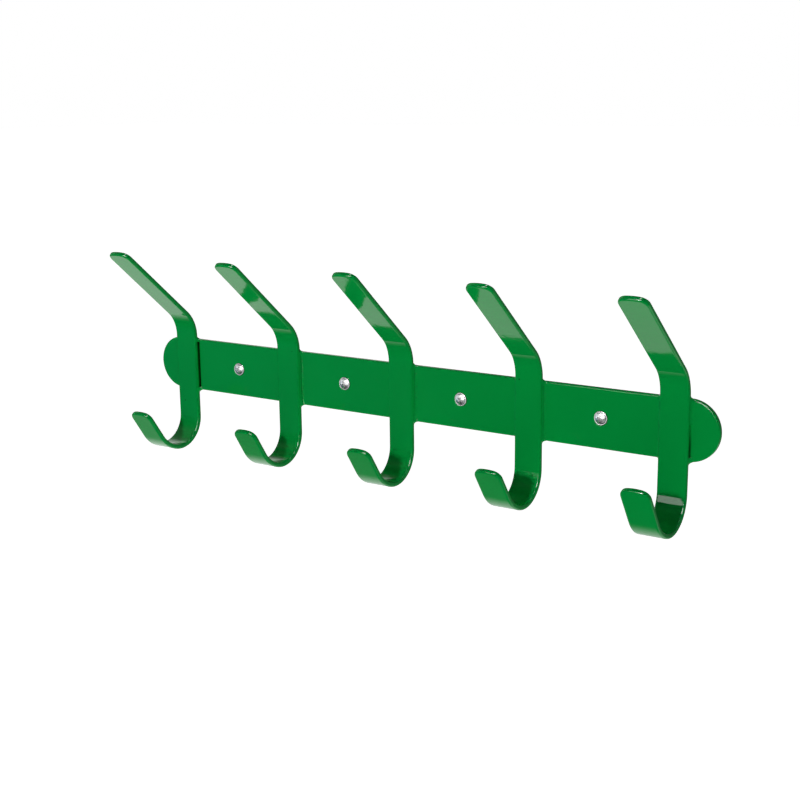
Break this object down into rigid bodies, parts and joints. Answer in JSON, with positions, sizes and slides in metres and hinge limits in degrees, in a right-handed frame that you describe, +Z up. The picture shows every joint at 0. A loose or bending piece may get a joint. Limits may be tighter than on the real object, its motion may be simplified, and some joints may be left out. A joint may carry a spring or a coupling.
{
  "type": "wall hook rail",
  "caption": "Wall rail of coated flat steel with double hooks: long leaning upper prongs and J-shaped lower ends, held to the wall by countersunk screws.",
  "frame": {"origin": "centre of the rail, on its back face, which lies on the wall", "axes": "+X along the rail to the right as seen from the room, +Y into the wall, +Z up; the hooks reach out towards -Y"},
  "size_m": [0.5785, 0.1431, 0.1963],
  "materials": {
    "green_coating": "gloss",
    "zinc": "satin"
  },
  "bodies": {
    "rail": {"back_plate": "green_coating", "hook_1": "green_coating", "hook_2": "green_coating", "hook_3": "green_coating", "hook_4": "green_coating", "hook_5": "green_coating", "weld_hook_1": "green_coating", "weld_hook_2": "green_coating", "weld_hook_3": "green_coating", "weld_hook_4": "green_coating", "weld_hook_5": "green_coating"},
    "screw_1_body": {"screw_1": "zinc"},
    "screw_2_body": {"screw_2": "zinc"},
    "screw_3_body": {"screw_3": "zinc"},
    "screw_4_body": {"screw_4": "zinc"}
  },
  "joints": [
    {"name": "screw_1_turn", "type": "hinge", "parent": "rail", "child": "screw_1_body", "pos_m": [-0.1899, 0, 0.0005], "axis": [0, 1, 0], "continuous": true},
    {"name": "screw_2_turn", "type": "hinge", "parent": "rail", "child": "screw_2_body", "pos_m": [-0.0652, 0, 0.0005], "axis": [0, 1, 0], "continuous": true},
    {"name": "screw_3_turn", "type": "hinge", "parent": "rail", "child": "screw_3_body", "pos_m": [0.0578, 0, 0.0005], "axis": [0, 1, 0], "continuous": true},
    {"name": "screw_4_turn", "type": "hinge", "parent": "rail", "child": "screw_4_body", "pos_m": [0.1892, 0, 0.0005], "axis": [0, 1, 0], "continuous": true}
  ]
}
